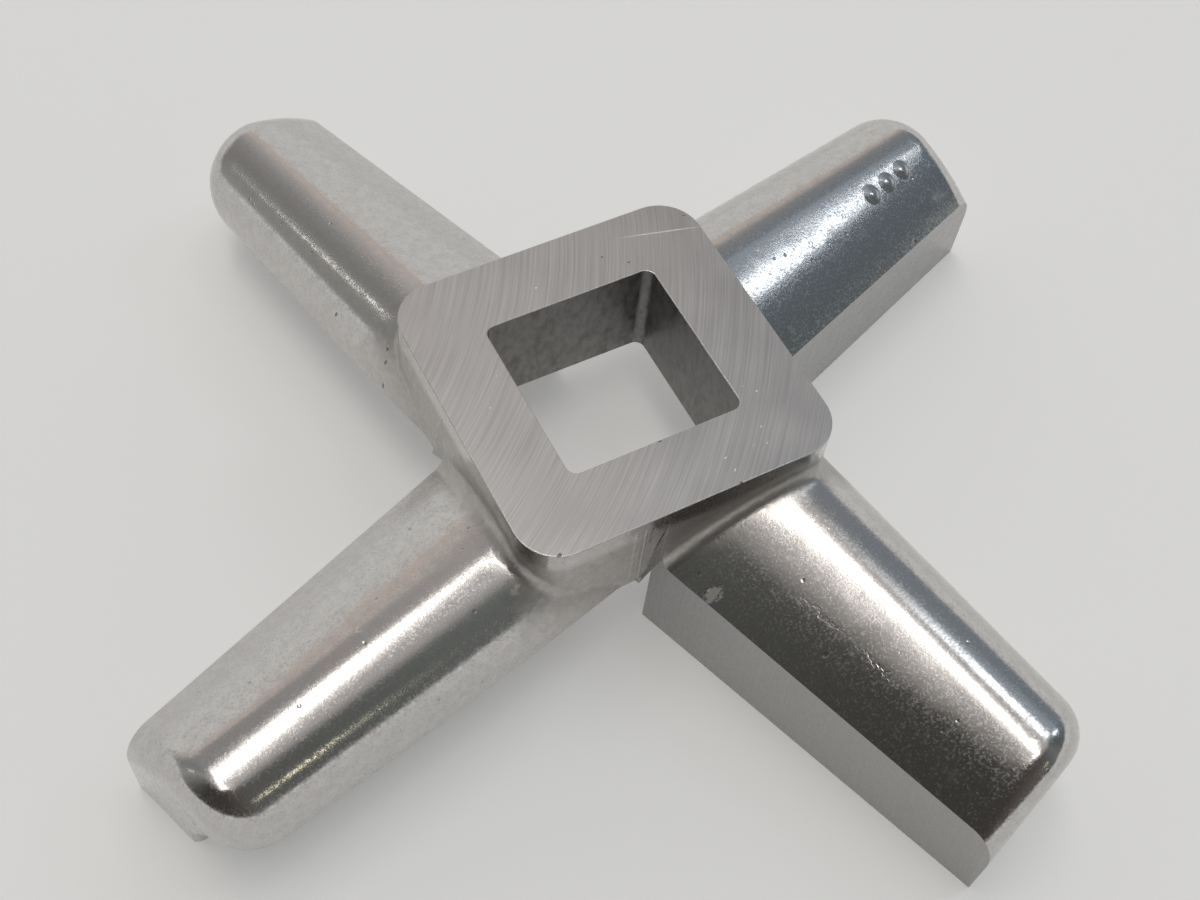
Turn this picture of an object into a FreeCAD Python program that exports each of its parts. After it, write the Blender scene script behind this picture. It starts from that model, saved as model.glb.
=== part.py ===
"""Meat grinder knife: one stainless casting with a square hub and four cutting arms.

Millimetres. The origin is on the turning axis, in the plane of the cutting edges, and +Z points
to the hub's ground top face. The hub's sides face along X and Y. The knife cuts turning clockwise
as seen from above.
"""
import FreeCAD, Part
import math
import os

# Hub: a rounded square block that stands above the arms
hub_side = 28.7
hub_corner_radius = 3.8
hub_top = 18.6

# Square hole for the drive square of the feed screw
hole_side = 15.9
hole_corner_radius = 0.9

# Turned recess under the hub, inside its sides, which clears the boss in the middle of the plate
recess_wall = 0.55
recess_diameter = hub_side - 2 * recess_wall
recess_depth = 8.3

# Arms: the tips of the cutting edges run on one circle
arm_count = 4
cutting_diameter = 95.5
arm_skew = 20.0
edge_lead = 7.1

# Arm section, where the arm leaves the hub and at the end face
root_station = 14.0
face_height_root = 10.1
face_height_end = 8.9
crest_height_root = 15.4
crest_height_end = 13.3
arm_width_root = 18.0
arm_width_end = 13.4
back_radius_root = 6.5
back_radius_end = 5.3
dome_radius = 25.0
back_foot_angle = 54.0

# Cutting land, and the relieved underside behind it
land_width = 7.2
relief_height_hub = 9.1
relief_height_end = 3.8
heel_fillet = 1.2
lower_edge_fillet = 0.7

# Rounded outer end
end_top_fillet = 2.6
end_back_fillet = 5.4
heel_corner_fillet = 1.3

# Cast fillet where the arms leave the hub
root_fillet = 1.4

# Grinding wheel that took the stock off the leading side of an arm and ran out in the hub's side
face_stock = 2.0
wheel_radius = 70.0
wheel_centre_height = 8.0
wheel_inner_end = 12.1

# The arm's length to its end face, and where its blank starts inside the hub
arm_reach = math.sqrt((cutting_diameter / 2) ** 2 - edge_lead ** 2)
blank_start = hub_side / 2 - hub_corner_radius

# How far the tools that cut run past the metal, and how near a spot counts as on a face
overrun = 5.0
heel_overrun = 0.2
tolerance = 0.01


def between(at_root, at_end, station):
    """A size of the arm that changes evenly from its root to the end face."""
    share = (station - root_station) / (arm_reach - root_station)
    return at_root + (at_end - at_root) * share


def point(station, across, height):
    """A point of the arm's own frame: out along the arm, across from the cutting edge, and up."""
    return FreeCAD.Vector(station, across - edge_lead, height)


def in_arm_frame(spot, index):
    """Station along an arm, and place across from its cutting edge, of a spot on the knife."""
    turn = FreeCAD.Rotation(FreeCAD.Vector(0, 0, 1), -arm_angle(index))
    spot = turn.multVec(spot)
    return spot.x, spot.y + edge_lead


def arm_angle(index):
    return arm_skew + index * 360 / arm_count


def relief_height(station):
    """Height of the relieved underside over the cutting plane, from the hub out to the arm's end."""
    share = (station - edge_lead) / (arm_reach - edge_lead)
    return relief_height_hub + (relief_height_end - relief_height_hub) * share


def on_circle(centre, radius, angle):
    return (centre[0] + radius * math.cos(angle), centre[1] + radius * math.sin(angle))


def blank_section(station):
    """Closed profile of the unrelieved arm: ground face, dome, round back and underside."""
    face_height = between(face_height_root, face_height_end, station)
    crest_height = between(crest_height_root, crest_height_end, station)
    arm_width = between(arm_width_root, arm_width_end, station)
    back_radius = between(back_radius_root, back_radius_end, station)

    back_centre = (arm_width - back_radius, crest_height - back_radius)
    face_top = (0.0, face_height)
    gap = math.dist(face_top, back_centre)
    inner = dome_radius - back_radius
    opening = math.acos((gap ** 2 + dome_radius ** 2 - inner ** 2) / (2 * gap * dome_radius))
    aim = math.atan2(back_centre[1] - face_top[1], back_centre[0] - face_top[0]) - opening
    dome_centre = on_circle(face_top, dome_radius, aim)
    join_angle = math.atan2(back_centre[1] - dome_centre[1], back_centre[0] - dome_centre[0])
    start_angle = math.acos((-face_stock - dome_centre[0]) / dome_radius)
    foot_angle = -math.radians(back_foot_angle)

    def p(pair):
        return point(station, pair[0], pair[1])

    edge = p((-face_stock, 0.0))
    top = p(on_circle(dome_centre, dome_radius, start_angle))
    dome_middle = p(on_circle(dome_centre, dome_radius, (start_angle + join_angle) / 2))
    dome_end = p(on_circle(dome_centre, dome_radius, join_angle))
    back_middle = p(on_circle(back_centre, back_radius, (join_angle + foot_angle) / 2))
    back_foot = p(on_circle(back_centre, back_radius, foot_angle))
    heel = p((land_width, 0.0))
    return Part.Wire([
        Part.LineSegment(edge, top).toShape(),
        Part.Arc(top, dome_middle, dome_end).toShape(),
        Part.Arc(dome_end, back_middle, back_foot).toShape(),
        Part.LineSegment(back_foot, heel).toShape(),
        Part.LineSegment(heel, edge).toShape(),
    ])


def arm_blank():
    """The arm's casting before it is ground and relieved, with its outer end rounded over."""
    blank = Part.makeLoft([blank_section(blank_start), blank_section(arm_reach)], True, True)
    at_end = [edge for edge in blank.Edges if edge.CenterOfMass.x > arm_reach - tolerance]
    back = max(at_end, key=lambda edge: edge.CenterOfMass.y)
    return blank.makeFillet(end_top_fillet, end_back_fillet, [back])


def relief_plan():
    """Outline of the relieved ground behind the land, which turns the land's outer heel corner."""
    bend_station = arm_reach + heel_overrun - heel_corner_fillet
    bend_across = land_width - heel_corner_fillet
    halfway = heel_corner_fillet * math.sqrt(0.5)
    far_station = arm_reach + overrun
    far_across = arm_width_root + overrun
    root_corner = point(edge_lead, land_width, -overrun)
    bend_start = point(bend_station, land_width, -overrun)
    bend_middle = point(bend_station + halfway, bend_across + halfway, -overrun)
    bend_end = point(arm_reach + heel_overrun, bend_across, -overrun)
    end_corner = point(far_station, bend_across, -overrun)
    far_corner = point(far_station, far_across, -overrun)
    back_corner = point(edge_lead, far_across, -overrun)
    return Part.Wire([
        Part.LineSegment(root_corner, bend_start).toShape(),
        Part.Arc(bend_start, bend_middle, bend_end).toShape(),
        Part.LineSegment(bend_end, end_corner).toShape(),
        Part.LineSegment(end_corner, far_corner).toShape(),
        Part.LineSegment(far_corner, back_corner).toShape(),
        Part.LineSegment(back_corner, root_corner).toShape(),
    ])


def relief_cutter():
    """Space under an arm, from the next arm's ground face to the end and from the land backwards."""
    far_station = arm_reach + overrun
    slope = Part.makePolygon([
        point(edge_lead, 0, -overrun),
        point(edge_lead, 0, relief_height(edge_lead)),
        point(far_station, 0, relief_height(far_station)),
        point(far_station, 0, -overrun),
        point(edge_lead, 0, -overrun),
    ])
    under_slope = Part.Face(slope).extrude(FreeCAD.Vector(0, arm_width_root + overrun, 0))
    cutter = Part.Face(relief_plan()).extrude(FreeCAD.Vector(0, 0, hub_top)).common(under_slope)
    underside = max(cutter.Faces, key=lambda face: face.CenterOfMass.z)
    heel_edges = [edge for edge in underside.Edges
                  if edge.CenterOfMass.y < land_width - edge_lead + tolerance
                  and edge.BoundBox.XMin < arm_reach]
    cutter = cutter.makeFillet(heel_fillet, heel_edges)
    turned_face = Part.makeCylinder(recess_diameter / 2, hub_top, FreeCAD.Vector(0, 0, recess_depth))
    return cutter.cut(turned_face)


def on_every_side(shape):
    """The shape and its copies, turned about the hub's axis to each arm's place."""
    copies = []
    for index in range(arm_count):
        copy = shape.copy()
        copy.rotate(FreeCAD.Vector(), FreeCAD.Vector(0, 0, 1), arm_angle(index))
        copies.append(copy)
    return copies


def square_block(side, corner_radius, bottom, top):
    """An upright square block about the hub's axis, with rounded corners."""
    block = Part.makeBox(side, side, top - bottom, FreeCAD.Vector(-side / 2, -side / 2, bottom))
    upright = [edge for edge in block.Edges if edge.BoundBox.ZLength > (top - bottom) / 2]
    return block.makeFillet(corner_radius, upright)


def wheel_run_out():
    """The rim of the grinding wheel at the inner end of its stroke along the leading face."""
    centre = point(wheel_inner_end + wheel_radius, -face_stock, wheel_centre_height)
    return Part.makeCylinder(wheel_radius, face_stock, centre, FreeCAD.Vector(0, 1, 0))


def is_on_hub_side(spot):
    """Whether the spot lies on the rounded square outline of the hub."""
    straight = hub_side / 2 - hub_corner_radius
    past_x = max(abs(spot.x) - straight, 0)
    past_y = max(abs(spot.y) - straight, 0)
    return abs(math.hypot(past_x, past_y) - hub_corner_radius) < tolerance


def root_edges(body):
    """The edges where the arms' domes and backs come out of the hub's sides."""
    edges = []
    for edge in body.Edges:
        middle = edge.valueAt((edge.FirstParameter + edge.LastParameter) / 2)
        above_relief = edge.CenterOfMass.z > relief_height_hub
        below_top = edge.BoundBox.ZMax < hub_top - root_fillet
        ends = [vertex.Point for vertex in edge.Vertexes]
        if above_relief and below_top and all(is_on_hub_side(spot) for spot in ends + [middle]):
            edges.append(edge)
    return edges


def lower_back_edges(body):
    """The edges where the arms' round backs meet their relieved undersides."""
    edges = []
    for edge in body.Edges:
        middle = edge.valueAt((edge.FirstParameter + edge.LastParameter) / 2)
        for index in range(arm_count):
            station, across = in_arm_frame(middle, index)
            on_underside = abs(middle.z - relief_height(station)) < tolerance
            behind_heel = across > land_width + 2 * heel_fillet
            if on_underside and behind_heel and station > root_station:
                edges.append(edge)
    return edges


def knife():
    hub = square_block(hub_side, hub_corner_radius, 0, hub_top)
    casting = hub.fuse(on_every_side(arm_blank())).removeSplitter()
    casting = casting.makeFillet(root_fillet, root_edges(casting))
    below = FreeCAD.Vector(0, 0, -overrun)
    recess = Part.makeCylinder(recess_diameter / 2, recess_depth + overrun, below)
    hole = square_block(hole_side, hole_corner_radius, -overrun, hub_top + overrun)
    cutters = on_every_side(relief_cutter()) + on_every_side(wheel_run_out()) + [recess, hole]
    ground = casting.cut(cutters).removeSplitter()
    return ground.makeFillet(lower_edge_fillet, lower_back_edges(ground))


os.makedirs("parts", exist_ok=True)
knife().Solids[0].exportStep("parts/grinder_knife.step")
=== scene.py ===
"""Looks of a meat grinder knife: one stainless casting with four arms, polished and then ground."""
import math

import bmesh
import bpy
import numpy
from mathutils import Matrix, Vector


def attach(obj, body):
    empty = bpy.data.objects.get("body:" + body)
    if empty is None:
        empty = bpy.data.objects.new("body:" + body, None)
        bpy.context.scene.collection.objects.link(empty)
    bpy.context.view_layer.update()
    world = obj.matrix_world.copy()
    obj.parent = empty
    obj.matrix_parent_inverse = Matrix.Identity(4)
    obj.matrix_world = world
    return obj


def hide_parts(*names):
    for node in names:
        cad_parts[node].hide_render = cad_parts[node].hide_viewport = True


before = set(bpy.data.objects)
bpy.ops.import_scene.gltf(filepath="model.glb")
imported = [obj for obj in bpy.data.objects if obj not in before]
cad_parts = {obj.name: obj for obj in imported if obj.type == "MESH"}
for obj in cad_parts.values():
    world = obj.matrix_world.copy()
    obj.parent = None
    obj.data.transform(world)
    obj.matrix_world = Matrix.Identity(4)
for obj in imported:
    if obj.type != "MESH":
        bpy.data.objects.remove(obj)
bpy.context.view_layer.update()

# The casting
# Square hub and four skewed arms in one piece of stainless steel, cast, tumbled and then polished
# on a belt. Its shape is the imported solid's; only the hub's ground edges get a tiny break.
ARM_SKEW = math.radians(20.0)
ARM_COUNT = 4
EDGE_LEAD = 0.0071
HUB_TOP = 0.0186
HOLE_HALF = 0.00795
RECESS_RADIUS = 0.0138
RECESS_DEPTH = 0.0083
EDGE_BREAK = 0.00011
MERGE_DISTANCE = 1e-6
FLAT_ANGLE = math.radians(0.05)
RIM_ANGLE = math.radians(45)
ON_RIM = 0.00001

knife_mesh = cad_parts["grinder_knife"].data.copy()
knife_mesh.name = "knife_casting"
knife_mesh.materials.clear()
casting = bpy.data.objects.new("knife_casting", knife_mesh)
bpy.context.scene.collection.objects.link(casting)

body = bmesh.new()
body.from_mesh(knife_mesh)
bmesh.ops.remove_doubles(body, verts=body.verts, dist=MERGE_DISTANCE)
bmesh.ops.dissolve_limit(body, angle_limit=FLAT_ANGLE, verts=body.verts, edges=body.edges)


def on_hub_rim(edge):
    """Whether an edge runs round the hub's ground top, outside or at the hole."""
    return (all(vert.co.z > HUB_TOP - ON_RIM for vert in edge.verts)
            and len(edge.link_faces) == 2 and edge.calc_face_angle() > RIM_ANGLE)


bmesh.ops.bevel(
    body, geom=[edge for edge in body.edges if on_hub_rim(edge)], offset=EDGE_BREAK,
    offset_type="OFFSET", segments=2, profile=0.5, affect="EDGES", material=-1)

# Each face gets the finish of its place, and carries its place on its arm for the grinding marks.
SKIN, GROUND_TOP, HOLE_WALL, CUTTING_FACE, RECESS, UNDERSIDE = range(6)
NEAR_WALL = 0.0001
LAND_TOP = 0.00002
LEADING_FACE_START = 0.0105
LEADING_FACE_BACK = 0.00003
UPRIGHT = 0.5
OVERHANG = -0.3


def in_arm_frame(spot, number):
    """Distance out along an arm, and across it from its cutting edge."""
    turn = ARM_SKEW + number * 2 * math.pi / ARM_COUNT
    along = spot.x * math.cos(turn) + spot.y * math.sin(turn)
    across = spot.y * math.cos(turn) - spot.x * math.sin(turn) + EDGE_LEAD
    return along, across


def nearest_arm(spot):
    return max(range(ARM_COUNT), key=lambda number: in_arm_frame(spot, number)[0])


def finish_of(spot, normal, along, across):
    """Number of the finish that a face gets, from its middle, its normal and its place on the arm."""
    leading = along > LEADING_FACE_START and across < LEADING_FACE_BACK
    within_recess = math.hypot(spot.x, spot.y) < RECESS_RADIUS + NEAR_WALL
    if spot.z > HUB_TOP - EDGE_BREAK * 1.1:
        return GROUND_TOP
    if max(abs(spot.x), abs(spot.y)) < HOLE_HALF + NEAR_WALL:
        return HOLE_WALL
    if spot.z < LAND_TOP or (leading and abs(normal.z) < UPRIGHT):
        return CUTTING_FACE
    if within_recess and spot.z < RECESS_DEPTH + NEAR_WALL:
        return RECESS
    return UNDERSIDE if normal.z < OVERHANG else SKIN


arm_place = body.loops.layers.float_vector.new("arm_place")
for face in body.faces:
    face.smooth = True
    spot = face.calc_center_median()
    number = nearest_arm(spot)
    face.material_index = finish_of(spot, face.normal, *in_arm_frame(spot, number))
    for loop in face.loops:
        loop[arm_place] = (*in_arm_frame(loop.vert.co, number), loop.vert.co.z)

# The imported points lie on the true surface, but the small facets between them would make the
# polish look dented. So each corner's normal comes from a paraboloid laid through its neighbours.
SHARP_ANGLE = math.radians(35)
PLANE_ANGLE = 0.002
FIT_REACHES = (0.0014, 0.0008)
FIT_OUTER = 1.6
FIT_FALL = 1.4
FEWEST_POINTS = 7
LARGEST_MISS = 0.000004
LARGEST_TURN = math.radians(12)

body.normal_update()
body.faces.index_update()
for edge in body.edges:
    edge.smooth = len(edge.link_faces) == 2 and edge.calc_face_angle() < SHARP_ANGLE


def smooth_neighbours(face, vert=None):
    """Faces that go on smoothly from this one, over its edges at one corner or over all of them."""
    return [other for edge in face.edges if edge.smooth and (vert is None or vert in edge.verts)
            for other in edge.link_faces if other is not face]


def spread(found, more):
    """Adds to a list of faces all that can be reached from them, step by step."""
    seen = set(found)
    for face in found:
        for other in more(face):
            if other not in seen:
                seen.add(other)
                found.append(other)
    return found


def true_normal(vert, around):
    """Normal at a point of the smooth surface that the given faces are part of."""
    rough = sum((face.normal * face.calc_area() for face in around), Vector()).normalized()
    if all(face.normal.angle(rough) < PLANE_ANGLE for face in around):
        return rough
    side = rough.orthogonal().normalized()
    up = rough.cross(side)
    apart = {}

    def far_from(corner):
        if corner not in apart:
            apart[corner] = (corner.co - vert.co).length
        return apart[corner]

    patch = spread(list(around), lambda face: [
        other for other in smooth_neighbours(face)
        if min(map(far_from, other.verts)) < max(FIT_REACHES)])
    corners = {corner for face in patch for corner in face.verts}
    for reach in FIT_REACHES:
        near = [corner for corner in corners if far_from(corner) < FIT_OUTER * reach]
        if len(near) < FEWEST_POINTS:
            continue
        offsets = numpy.array([corner.co - vert.co for corner in near]) / reach
        x, y, z = (offsets @ numpy.array(axis) for axis in (side, up, rough))
        weight = numpy.exp(-FIT_FALL * (offsets ** 2).sum(axis=1))
        terms = numpy.stack([x, y, x * x, x * y, y * y], axis=1)
        fit, _, rank, _ = numpy.linalg.lstsq(terms * weight[:, None], z * weight, rcond=1e-5)
        miss = numpy.abs((terms @ fit - z) * weight).max() * reach
        normal = (rough - side * fit[0] - up * fit[1]).normalized()
        if rank == terms.shape[1] and miss < LARGEST_MISS and normal.angle(rough) < LARGEST_TURN:
            return normal
    return rough


normal_of = {}
for vert in body.verts:
    left = list(vert.link_faces)
    while left:
        around = spread([left[0]], lambda face: [
            other for other in smooth_neighbours(face, vert) if other in left])
        left = [face for face in left if face not in around]
        normal = true_normal(vert, around)
        for face in around:
            normal_of[face.index, vert.index] = normal
corner_normals = [
    normal_of[face.index, corner.vert.index] for face in body.faces for corner in face.loops]
body.to_mesh(knife_mesh)
body.free()
knife_mesh.normals_split_custom_set(corner_normals)
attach(casting, "root")
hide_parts("grinder_knife")

# Polished skin
# The belt left the domes bright, over the casting's orange peel and pinholes. It didn't reach the
# roots at the hub, where the skin stays rough, and use has added a chip and a few scratches.
BRIGHT_STEEL = (0.63, 0.615, 0.60)
DULL_STEEL = (0.575, 0.56, 0.545)
GRAIN_SHADE = (0.44, 0.42, 0.40)
CRUST_SHADE = (0.34, 0.32, 0.30)
PIT_SHADE = (0.20, 0.18, 0.16)
CHIP_SHADE = (0.86, 0.83, 0.78)
SCRATCH_SHADE = (0.80, 0.77, 0.72)
ROOT_FADE_OUT = (0.0166, 0.0146)
ROOT_FADE_UP = (0.0172, 0.0160)
GROOVE_FADE_FRONT = (-0.0030, -0.0028)
GROOVE_FADE_BACK = (-0.0014, -0.0019)
GROOVE_FADE_UP = (0.0178, 0.0165)
GROOVE_FADE_OUT = (0.0150, 0.0146)
PINHOLES_PER_MM = 0.8
RAGGED_SCALE = 1500.0
RAGGED_REACH = 0.0016


def metal(name, colour, roughness):
    """A new metal material, its sheet of nodes and its main shader."""
    made = bpy.data.materials.new(name)
    made.use_nodes = True
    shader = made.node_tree.nodes["Principled BSDF"]
    shader.inputs["Base Color"].default_value = (*colour, 1)
    shader.inputs["Metallic"].default_value = 1.0
    shader.inputs["Roughness"].default_value = roughness
    return made, made.node_tree, shader


def add(tree, kind, inputs=(), **settings):
    """A node with its options set; inputs pairs a socket with a value or another node's socket."""
    node = tree.nodes.new("ShaderNode" + kind)
    for name, value in settings.items():
        setattr(node, name, value)
    for name, value in dict(inputs).items():
        if isinstance(value, bpy.types.NodeSocket):
            tree.links.new(value, node.inputs[name])
        else:
            node.inputs[name].default_value = value
    return node


def object_place(tree):
    return add(tree, "TexCoord").outputs["Object"]


def arm_way(tree):
    """Place along the arm, across it and above the cutting plane, in metres."""
    return add(tree, "Attribute", attribute_name="arm_place").outputs["Vector"]


def split(tree, vector):
    """The three coordinates of a vector."""
    return list(add(tree, "SeparateXYZ", {"Vector": vector}).outputs)


def joined(tree, x, y=0.0):
    """A vector of two coordinates, with none upwards."""
    return add(tree, "CombineXYZ", {"X": x, "Y": y}).outputs["Vector"]


def math_of(tree, operation, first, second=0.0):
    return add(tree, "Math", {0: first, 1: second}, operation=operation).outputs["Value"]


def product(tree, first, second):
    return math_of(tree, "MULTIPLY", first, second)


def largest(tree, first, *others):
    for other in others:
        first = math_of(tree, "MAXIMUM", first, other)
    return first


def vector_math(tree, operation, *inputs):
    """Result of a sum on vectors, which is a number for a length, a distance or a dot product."""
    node = add(tree, "VectorMath", enumerate(inputs), operation=operation)
    is_number = operation in ("LENGTH", "DISTANCE", "DOT_PRODUCT")
    return node.outputs["Value" if is_number else "Vector"]


def in_waves(tree, place, per_mm):
    """The place counted in waves, so many to the millimetre in each direction or in all alike."""
    waves = per_mm if isinstance(per_mm, tuple) else (per_mm,) * 3
    scale = [1000 * wave for wave in waves]
    return add(tree, "Mapping", {"Vector": place, "Scale": scale}).outputs["Vector"]


def noise(tree, place, per_mm, detail=2.0, roughness=0.5):
    """Soft noise with so many waves to the millimetre."""
    return add(tree, "TexNoise", {
        "Vector": in_waves(tree, place, per_mm), "Scale": 1.0, "Detail": detail,
        "Roughness": roughness}).outputs["Fac"]


def fade(tree, value, start, end, low=0.0, high=1.0):
    """Turns a value that runs from start to end into one that runs from low to high."""
    return add(tree, "MapRange", {
        "Value": value, "From Min": start, "From Max": end, "To Min": low,
        "To Max": high}).outputs["Result"]


def blend(tree, factor, first, second):
    """Mixes two colours, each a colour or a socket."""
    first = first if isinstance(first, bpy.types.NodeSocket) else (*first, 1)
    second = second if isinstance(second, bpy.types.NodeSocket) else (*second, 1)
    return add(tree, "Mix", {0: factor, 6: first, 7: second}, data_type="RGBA").outputs[2]


def spots(tree, place, marks):
    """Mask of small marks: each has its middle and half sizes in mm, and its turn about Z."""
    masks = []
    for middle, half_sizes, turn in marks:
        near = add(tree, "Mapping", {
            "Vector": place, "Location": [c / 1000 for c in middle],
            "Scale": [h / 1000 for h in half_sizes],
            "Rotation": (0, 0, math.radians(turn))}, vector_type="TEXTURE")
        masks.append(fade(tree, vector_math(tree, "LENGTH", near.outputs["Vector"]), 1.0, 0.45))
    return largest(tree, *masks)


def bump(tree, shader, *layers):
    """Stacks bumps on the shader's normal: each layer is a socket and its height in mm."""
    normal = None
    for height, tall in layers:
        inputs = {"Height": height, "Distance": tall / 1000, "Strength": 1.0}
        if normal:
            inputs["Normal"] = normal
        normal = add(tree, "Bump", inputs).outputs["Normal"]
    tree.links.new(normal, shader.inputs["Normal"])


skin, tree, shader = metal("polished_cast_skin", (0.60, 0.585, 0.57), 0.14)
place = object_place(tree)
way = arm_way(tree)
waves = noise(tree, place, 0.25)
peel = noise(tree, place, 1.1, 3.0, 0.62)
grain = noise(tree, place, 4.6, 2.0, 0.6)
belt = noise(tree, way, (0.04, 2.6, 2.6), 2.0, 0.6)

cells = add(tree, "TexVoronoi", {"Vector": in_waves(tree, place, PINHOLES_PER_MM), "Scale": 1.0})
pinhole = fade(tree, cells.outputs["Distance"], 0.16, 0.06)
cell_draw = add(tree, "SeparateColor", {"Color": cells.outputs["Color"]}).outputs["Red"]
pinholes = product(tree, pinhole, fade(tree, cell_draw, 0.80, 0.86))

x, y, z = split(tree, place)
beside = largest(tree, math_of(tree, "ABSOLUTE", x), math_of(tree, "ABSOLUTE", y))
root = product(tree, fade(tree, beside, *ROOT_FADE_OUT), fade(tree, z, *ROOT_FADE_UP))
crust = product(tree, root, noise(tree, place, 1.4, 3.0, 0.7))

# Coarse upright marks in the hub's side, where the wheel ran out beside each arm.
along, across, rise = split(tree, way)
groove_wide = product(
    tree, fade(tree, across, *GROOVE_FADE_FRONT), fade(tree, across, *GROOVE_FADE_BACK))
groove_tall = product(
    tree, fade(tree, rise, *GROOVE_FADE_UP), fade(tree, along, *GROOVE_FADE_OUT))
groove = product(tree, groove_wide, groove_tall)
grooves = product(tree, groove, noise(tree, way, (0.0, 3.4, 0.0), 1.0))

# Marks of casting and use, in millimetres on the knife. A shaken place gives a ragged outline.
ragged = add(tree, "TexNoise", {"Vector": place, "Scale": RAGGED_SCALE, "Detail": 2.0})
ragged = vector_math(tree, "SUBTRACT", ragged.outputs["Color"], (0.5, 0.5, 0.5))
shaken = vector_math(tree, "MULTIPLY_ADD", ragged, (RAGGED_REACH,) * 3, place)
chip = spots(tree, shaken, [((0.0, -18.7, 10.5), (1.15, 0.50, 1.6), -8)])
pale = spots(tree, shaken, [
    ((19.9, 1.2, 11.0), (0.45, 0.30, 0.8), 20), ((40.1, 9.7, 11.1), (0.42, 0.26, 0.8), 20),
    ((33.7, 9.7, 12.5), (0.20, 0.18, 0.5), 0), ((-15.3, -13.1, 14.2), (0.5, 0.3, 0.8), 30),
    ((-27.4, -11.1, 14.1), (0.55, 0.16, 0.6), -55), ((8.8, -43.2, 9.6), (0.2, 0.2, 0.5), 0)])
pits = spots(tree, place, [
    ((5.15, -27.74, 11.4), (0.30, 0.22, 0.6), 0), ((37.45, 6.41, 9.5), (0.28, 0.24, 0.6), 0),
    ((-14.5, 13.5, 12.8), (0.14, 0.14, 0.6), 0), ((-15.0, 12.9, 11.9), (0.18, 0.16, 0.7), 0),
    ((-15.6, 12.3, 9.4), (0.16, 0.16, 0.6), 0), ((-16.7, 20.0, 11.2), (0.17, 0.17, 0.6), 0)])
scratches = spots(tree, shaken, [
    ((6.2, -24.9, 12.7), (3.0, 0.16, 1.2), -71), ((7.9, -30.4, 12.3), (2.6, 0.13, 1.2), -74),
    ((9.6, -42.1, 10.4), (2.6, 0.15, 1.2), -72), ((-29.0, -9.15, 13.15), (1.15, 0.12, 1.0), -11),
    ((-12.4, 30.2, 13.9), (2.0, 0.10, 1.0), 104), ((24.0, 9.0, 14.0), (2.4, 0.10, 1.0), 14)])

bump(tree, shader, (waves, 0.004), (peel, 0.004), (grain, 0.0045), (belt, 0.0012),
     (pinholes, -0.020), (crust, 0.050), (grooves, 0.050), (pits, -0.022), (chip, -0.03),
     (scratches, -0.006))
dull = largest(tree, root, pits, chip, fade(tree, grain, 0.46, 0.68, 0.0, 0.6))
sheen = math_of(tree, "ADD", fade(tree, dull, 0.0, 1.0, 0.0, 0.28),
                fade(tree, peel, 0.35, 0.65, 0.10, 0.17))
tree.links.new(sheen, shader.inputs["Roughness"])
colour = blend(tree, fade(tree, peel, 0.38, 0.62), BRIGHT_STEEL, DULL_STEEL)
for mask, shade in (
        (fade(tree, grain, 0.46, 0.68, 0.0, 0.30), GRAIN_SHADE),
        (product(tree, crust, 0.8), CRUST_SHADE),
        (largest(tree, pits, product(tree, pinholes, 0.4)), PIT_SHADE),
        (largest(tree, chip, product(tree, pale, 0.8)), CHIP_SHADE),
        (product(tree, scratches, 0.35), SCRATCH_SHADE)):
    colour = blend(tree, mask, colour, shade)
tree.links.new(colour, shader.inputs["Base Color"])
knife_mesh.materials.append(skin)

# Ground top of the hub
# Faced on a big cup wheel after casting, so it is flat and satin, with long shallow arcs from the
# grit, a few pinholes of the casting and small white dings from use.
CUP_WHEEL_MIDDLE = (-0.045, 0.037, HUB_TOP)
ALONG_ARCS = (0.65, 0.76, 0.0)
CROSSED_TURN = math.radians(-62)
TOP_MARK_HALF_DEPTH = 0.5
ARC_DARK = (0.46, 0.452, 0.445)
ARC_BRIGHT = (0.60, 0.59, 0.58)
TOP_PIT_SHADE = (0.22, 0.20, 0.18)
DING_SHADE = (0.92, 0.91, 0.90)


def on_top(x, y, half_long, half_wide, turn=0):
    """A small mark on the hub's top, in millimetres."""
    return (x, y, HUB_TOP * 1000), (half_long, half_wide, TOP_MARK_HALF_DEPTH), turn


ground_top, tree, shader = metal("ground_hub_top", (0.53, 0.52, 0.51), 0.36)
place = object_place(tree)
arcs = joined(tree, vector_math(tree, "DISTANCE", place, CUP_WHEEL_MIDDLE),
              vector_math(tree, "DOT_PRODUCT", place, ALONG_ARCS))
fine_arcs = noise(tree, arcs, (7.0, 0.07, 0.0), 3.0, 0.7)
deep_arcs = noise(tree, arcs, (2.2, 0.10, 0.0), 2.0, 0.6)
crossed = add(tree, "Mapping", {"Vector": place, "Rotation": (0, 0, CROSSED_TURN)})
cross_scratches = noise(tree, crossed.outputs["Vector"], (0.12, 4.5, 0.0), 2.0, 0.6)
patches = noise(tree, place, 0.11)
grit = noise(tree, place, 4.0, 2.0, 0.7)
pits = spots(tree, place, [
    on_top(4.7, 10.78, 0.12, 0.12), on_top(6.58, 9.32, 0.16, 0.14),
    on_top(13.6, 12.0, 0.16, 0.12), on_top(-12.0, -13.9, 0.34, 0.16, 25),
    on_top(4.05, -14.3, 0.24, 0.14), on_top(0.04, -8.06, 0.26, 0.12)])
dings = spots(tree, place, [
    on_top(-2.03, 10.10, 0.12, 0.11), on_top(-9.04, 3.22, 0.10, 0.10),
    on_top(8.20, -10.35, 0.13, 0.10), on_top(7.82, -11.93, 0.15, 0.09, 20),
    on_top(6.78, -11.61, 0.12, 0.09), on_top(4.15, -13.04, 0.18, 0.10, 30),
    on_top(3.99, -11.72, 0.15, 0.10), on_top(9.65, -7.14, 0.18, 0.08, -15),
    on_top(8.92, -6.24, 0.10, 0.09), on_top(-10.9, 0.6, 0.13, 0.10)])
long_scratch = spots(tree, place, [on_top(10.7, 11.15, 4.4, 0.07, -14)])
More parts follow.
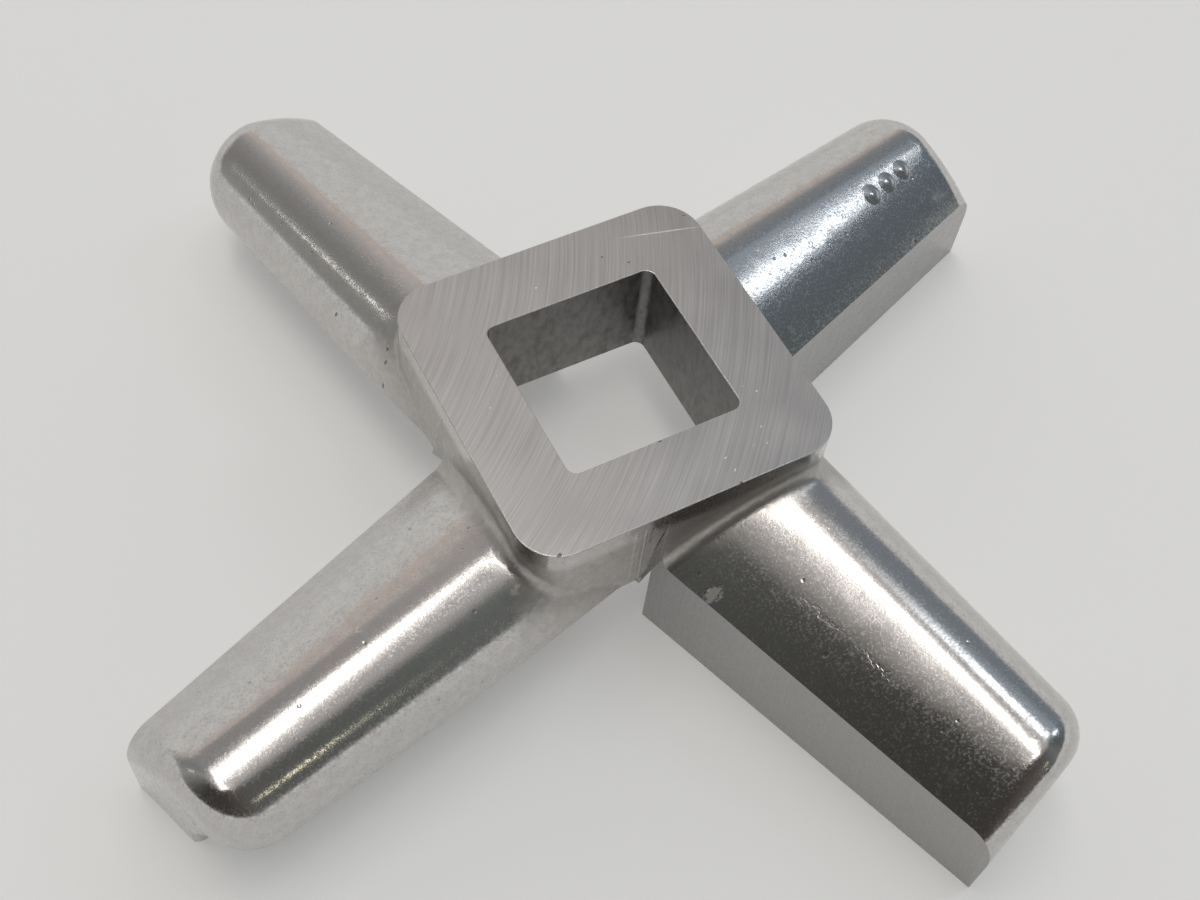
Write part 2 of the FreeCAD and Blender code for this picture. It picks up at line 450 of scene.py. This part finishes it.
bump(tree, shader, (fine_arcs, 0.0055), (deep_arcs, 0.0030), (cross_scratches, 0.0016),
     (grit, 0.0008), (pits, -0.04), (dings, -0.03), (long_scratch, -0.012))
tree.links.new(fade(tree, patches, 0.3, 0.7, 0.30, 0.40), shader.inputs["Roughness"])
colour = blend(tree, fade(tree, fine_arcs, 0.35, 0.65), ARC_DARK, ARC_BRIGHT)
colour = blend(tree, pits, colour, TOP_PIT_SHADE)
colour = blend(tree, largest(tree, dings, product(tree, long_scratch, 0.5)), colour, DING_SHADE)
tree.links.new(colour, shader.inputs["Base Color"])
knife_mesh.materials.append(ground_top)

# Drive hole
# Cast square and sized by a broach that was pushed through it, so its walls are dull and mottled,
# with faint marks along the broach's way. Their colour is kept dark as painted shade, for the shade
# that falls inside the hole.
# Both mottle tones are darkened as painted shade for the inside of the hole.
SHADED_MOTTLE_DARK = (0.15, 0.145, 0.14)
SHADED_MOTTLE_PALE = (0.31, 0.30, 0.29)

hole_wall, tree, shader = metal("broached_hole_wall_painted_shade", (0.24, 0.23, 0.22), 0.36)
place = object_place(tree)
mottle = noise(tree, place, (1.3, 1.3, 0.7), 3.0, 0.65)
broach = noise(tree, place, (3.5, 3.5, 0.10), 2.0, 0.6)
bump(tree, shader, (mottle, 0.016), (broach, 0.0045))
tree.links.new(fade(tree, mottle, 0.3, 0.7, 0.26, 0.50), shader.inputs["Roughness"])
colour = blend(tree, fade(tree, mottle, 0.35, 0.65), SHADED_MOTTLE_DARK, SHADED_MOTTLE_PALE)
tree.links.new(colour, shader.inputs["Base Color"])
knife_mesh.materials.append(hole_wall)

# Cutting faces
# The upright leading faces and the lands under them are ground to a keen edge. The wheel swept
# along each arm, so its marks are shallow upright arcs, plainest by the hub where it stopped. Their
# colour is darkened as painted shade, for the shadowed table that they mirror.
WHEEL_MIDDLE = (0.0821, 0.0, 0.008)
# Both tones of the swept marks are darkened as painted shade.
SHADED_SWEPT_DARK = (0.35, 0.345, 0.34)
SHADED_SWEPT_BRIGHT = (0.43, 0.425, 0.42)

cutting_face, tree, shader = metal("ground_cutting_face_painted_shade", (0.39, 0.385, 0.38), 0.27)
way = arm_way(tree)
swept = joined(tree, vector_math(tree, "DISTANCE", way, WHEEL_MIDDLE))
marks = noise(tree, swept, (3.0, 0.0, 0.0), 3.0, 0.65)
along, across, rise = split(tree, way)
stopped = product(tree, marks, fade(tree, along, 0.024, 0.013, 0.25, 1.0))
faint = noise(tree, object_place(tree), 0.9, 3.0, 0.6)
bump(tree, shader, (stopped, 0.010), (faint, 0.003))
tree.links.new(fade(tree, faint, 0.3, 0.7, 0.20, 0.32), shader.inputs["Roughness"])
tree.links.new(blend(tree, marks, SHADED_SWEPT_DARK, SHADED_SWEPT_BRIGHT), shader.inputs["Base Color"])
knife_mesh.materials.append(cutting_face)

# Recess under the hub
# Turned on a lathe to clear the middle of the hole plate, so it has fine rings round the axis.
RING_DARK = (0.48, 0.47, 0.46)
RING_BRIGHT = (0.60, 0.59, 0.58)

recess, tree, shader = metal("turned_recess", (0.55, 0.54, 0.53), 0.30)
place = object_place(tree)
x, y, z = split(tree, place)
ring = vector_math(tree, "LENGTH", vector_math(tree, "MULTIPLY", place, (1, 1, 0)))
rings = noise(tree, joined(tree, ring, z), (3.2, 3.2, 0.0), 2.0, 0.6)
bump(tree, shader, (rings, 0.008))
tree.links.new(blend(tree, rings, RING_DARK, RING_BRIGHT), shader.inputs["Base Color"])
knife_mesh.materials.append(recess)

# Underside of the arms
# Relieved in the casting and only tumbled, so it is duller than the domes.
STIPPLE_DARK = (0.42, 0.41, 0.40)
STIPPLE_PALE = (0.56, 0.55, 0.54)

underside, tree, shader = metal("tumbled_underside", (0.50, 0.49, 0.48), 0.36)
stipple = noise(tree, object_place(tree), 1.5, 3.0, 0.65)
bump(tree, shader, (stipple, 0.020))
tree.links.new(fade(tree, stipple, 0.3, 0.7, 0.28, 0.46), shader.inputs["Roughness"])
tree.links.new(blend(tree, stipple, STIPPLE_DARK, STIPPLE_PALE), shader.inputs["Base Color"])
knife_mesh.materials.append(underside)

# Raised pips
# Three low round pips cast on one arm near its end, plain domes with soft skirts. Each is closed
# underneath, and its rim is sunk in the metal.
PIP_RADIUS = 0.00095
PIP_HEIGHT = 0.00015
PIP_STATIONS = (0.0362, 0.0386, 0.0410)
PIP_ACROSS = 0.0055
PIP_STEPS = 28
PIP_PROFILE = ((0.0, -0.50), (1.30, -0.50), (1.06, 0.0), (0.88, 0.14), (0.68, 0.42), (0.47, 0.74),
               (0.24, 0.95), (0.0, 1.0))
ABOVE_KNIFE = 0.05
POLE_DISTANCE = 1e-7

pip_mesh = bpy.data.meshes.new("raised_pips")
pips = bpy.data.objects.new("raised_pips", pip_mesh)
bpy.context.scene.collection.objects.link(pips)
raised = bmesh.new()
for station in PIP_STATIONS:
    x = station * math.cos(ARM_SKEW) - (PIP_ACROSS - EDGE_LEAD) * math.sin(ARM_SKEW)
    y = station * math.sin(ARM_SKEW) + (PIP_ACROSS - EDGE_LEAD) * math.cos(ARM_SKEW)
    _, seat, seat_normal, _ = casting.ray_cast(Vector((x, y, ABOVE_KNIFE)), Vector((0, 0, -1)))
    outline = [raised.verts.new((out * PIP_RADIUS, 0, up * PIP_HEIGHT)) for out, up in PIP_PROFILE]
    edges = [raised.edges.new(pair) for pair in zip(outline, outline[1:])]
    bmesh.ops.spin(
        raised, geom=outline + edges, cent=(0, 0, 0), axis=(0, 0, 1), angle=2 * math.pi,
        steps=PIP_STEPS, use_merge=True)
    unplaced = [vert for vert in raised.verts if not vert.tag]
    upwards = seat_normal.to_track_quat("Z", "X").to_matrix().to_4x4()
    bmesh.ops.transform(raised, verts=unplaced, matrix=Matrix.Translation(seat) @ upwards)
    for vert in unplaced:
        vert.tag = True
bmesh.ops.remove_doubles(raised, verts=raised.verts, dist=POLE_DISTANCE)
bmesh.ops.recalc_face_normals(raised, faces=raised.faces)
for face in raised.faces:
    face.smooth = True
raised.to_mesh(pip_mesh)
raised.free()
pip_mesh.materials.append(skin)
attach(pips, "root")

# Table
# A plain pale table top that runs on past the camera's view. Its slight glow reaches only the
# camera and mirror images, so the table stays pale and keeps the knife's shadow.
TABLE_SIZE = 6.0
TABLE_GLOW = 0.23

bpy.ops.mesh.primitive_plane_add(size=TABLE_SIZE)
table = bpy.context.object
table.name = "table"
paint, tree, shader = metal("table_paint", (0.82, 0.82, 0.81), 0.85)
shader.inputs["Metallic"].default_value = 0.0
shader.inputs["Specular IOR Level"].default_value = 0.15
shader.inputs["Emission Color"].default_value = (1.0, 1.0, 0.99, 1)
light_path = add(tree, "LightPath")
seen = largest(tree, *(light_path.outputs[ray] for ray in (
    "Is Camera Ray", "Is Glossy Ray", "Is Transmission Ray")))
tree.links.new(product(tree, seen, TABLE_GLOW), shader.inputs["Emission Strength"])
table.data.materials.append(paint)

# Lamps and room
# A bench light of three tubes almost overhead, a cool window at the right with its glow, a small
# warm lamp and a faint one at the left. The room is pale low down and dark above the camera's side.
LAMP_DISTANCE = 2.4
TUBE_PLACES = (-0.15, 0.0, 0.15)
NEUTRAL = (1.0, 0.97, 0.93)
WARM_GLOW = (1.0, 0.95, 0.92)
DAYLIGHT = (0.86, 0.93, 1.0)
SKY_GLOW = (0.80, 0.89, 1.0)
WARM = (1.0, 0.95, 0.70)


def lamp(name, place, width, height, radiance, colour):
    """A flat lamp that shines down its own Z axis, as bright all over as its radiance says."""
    data = bpy.data.lights.new(name, "AREA")
    data.shape = "RECTANGLE"
    data.size = width
    data.size_y = height
    data.energy = radiance * math.pi * width * height
    data.color = colour
    lit = bpy.data.objects.new(name, data)
    bpy.context.scene.collection.objects.link(lit)
    lit.matrix_world = place


def facing(azimuth, elevation):
    """A lamp's distance away from the knife in one direction, and turned to it."""
    return (Matrix.Rotation(math.radians(azimuth + 90), 4, "Z")
            @ Matrix.Rotation(math.radians(90 - elevation), 4, "X")
            @ Matrix.Translation((0, 0, LAMP_DISTANCE)))


bench_light = (Matrix.Translation((-0.19, 0.135, LAMP_DISTANCE))
               @ Matrix.Rotation(math.radians(-15), 4, "Z"))
for number, x in enumerate(TUBE_PLACES):
    tube_place = bench_light @ Matrix.Translation((x, 0, 0))
    lamp("tube_%d" % number, tube_place, 0.095, 2.16, 4.9, NEUTRAL)
lamp("tube_glow", bench_light @ Matrix.Translation((0, 0.12, 0.03)), 0.90, 2.58, 0.30, WARM_GLOW)
lamp("window_top", facing(5, 69), 0.30, 0.54, 2.6, DAYLIGHT)
lamp("window_low", facing(352, 47), 0.20, 0.56, 4.0, DAYLIGHT)
lamp("window_glow", facing(0, 60), 0.70, 1.50, 0.20, SKY_GLOW)
lamp("warm_lamp", facing(286, 30), 0.066, 0.22, 4.0, WARM)
lamp("side_lamp", facing(145, 34), 0.055, 0.42, 2.2, NEUTRAL)

world = bpy.data.worlds.new("room")
bpy.context.scene.world = world
world.use_nodes = True
tree = world.node_tree
looking_x, looking_y, looking_z = split(tree, add(tree, "TexCoord").outputs["Generated"])
azimuth = fade(tree, math_of(tree, "ARCTAN2", looking_y, looking_x), -math.pi, math.pi)


def round_the_room(*stops):
    """Colour by azimuth, from 180 degrees west round to 180 degrees east."""
    node = add(tree, "ValToRGB", {"Fac": azimuth})
    elements = node.color_ramp.elements
    for angle, shade in stops:
        elements.new((angle + 180) / 360).color = (*shade, 1)
    for spare in (elements[-1], elements[0]):
        elements.remove(spare)
    return node.outputs["Color"]


def grey(level):
    return (level, level, level)


# The pale table end, then a thin warm edge and a lit strip beyond it, then the walls. The edge's
# colour stands for the height at which the table ends.
edge = round_the_room(
    (-179, grey(0.11)), (-62, grey(0.11)), (-48, grey(0.26)), (15, grey(0.32)), (42, grey(0.56)),
    (70, grey(0.57)), (90, grey(0.40)), (110, grey(0.29)), (128, grey(0.14)), (179, grey(0.11)))
walls = round_the_room(
    (-179, (0.11, 0.115, 0.11)), (-160, (0.055, 0.054, 0.050)), (-115, (0.065, 0.058, 0.052)),
    (-90, (0.115, 0.10, 0.095)), (-70, (0.13, 0.14, 0.135)), (-50, (0.21, 0.225, 0.22)),
    (-30, (0.11, 0.13, 0.135)), (-10, (0.15, 0.19, 0.23)), (12, (0.21, 0.25, 0.29)),
    (35, (0.28, 0.29, 0.31)), (55, (0.34, 0.34, 0.35)), (72, (0.62, 0.57, 0.55)),
    (84, (0.48, 0.455, 0.445)), (100, (0.34, 0.335, 0.335)), (130, (0.27, 0.27, 0.265)),
    (150, (0.36, 0.36, 0.35)), (179, (0.13, 0.13, 0.125)))
strip = round_the_room(
    (-179, grey(0)), (36, grey(0)), (48, grey(1)), (116, grey(1)), (128, grey(0)), (179, grey(0)))
above = math_of(tree, "SUBTRACT", looking_z, edge)
room = walls
for mask, shade in (
        (product(tree, strip, fade(tree, above, 0.15, 0.09)), (0.66, 0.61, 0.57)),
        (product(tree, strip, fade(tree, above, 0.045, 0.030)), (0.62, 0.41, 0.32)),
        (fade(tree, above, 0.02, 0.0), (0.74, 0.74, 0.73)),
        (fade(tree, looking_z, 0.86, 0.95), (0.50, 0.48, 0.47))):
    room = blend(tree, mask, room, shade)
tree.links.new(room, tree.nodes["Background"].inputs["Color"])

# Camera
# Held a hand's breadth above the knife's near corner, looking down across it.
lens = bpy.data.cameras.new("camera")
lens.sensor_width = 36.0
lens.lens = 47.078
lens.clip_start = 0.01
camera = bpy.data.objects.new("camera", lens)
bpy.context.scene.collection.objects.link(camera)
camera.matrix_world = (
    Matrix.Translation((-0.042996, -0.063383, 0.123620))
    @ Matrix.Rotation(math.radians(-34.044), 4, "Z")
    @ Matrix.Rotation(math.radians(33.051), 4, "X")
    @ Matrix.Rotation(math.radians(7.434), 4, "Z"))
bpy.context.scene.camera = camera
bpy.context.scene.view_settings.view_transform = "Standard"
